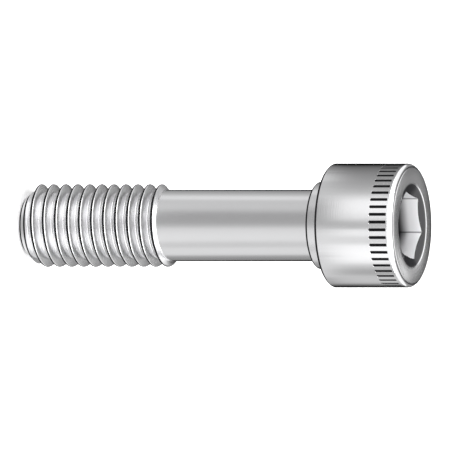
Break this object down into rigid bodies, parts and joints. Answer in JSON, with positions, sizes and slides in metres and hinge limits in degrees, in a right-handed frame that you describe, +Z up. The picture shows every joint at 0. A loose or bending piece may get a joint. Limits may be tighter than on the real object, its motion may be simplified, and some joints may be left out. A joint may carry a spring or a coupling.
{
  "type": "socket head cap screw",
  "caption": "Steel cap screw with a cylindrical head, a hexagon socket, a knurled band, a collar, a reduced plain shank and a right-hand thread with a chamfered point.",
  "frame": {"origin": "on the screw's axis at the end of its point, on whose flat it stands", "axes": "+Z up the axis from the point to the head, +X and +Y across, a corner of the hexagon 19 degrees from +X towards +Y"},
  "size_m": [0.019, 0.019, 0.0625],
  "materials": {
    "steel": "satin"
  },
  "bodies": {
    "root": {"cap_screw": "steel"}
  },
  "joints": []
}
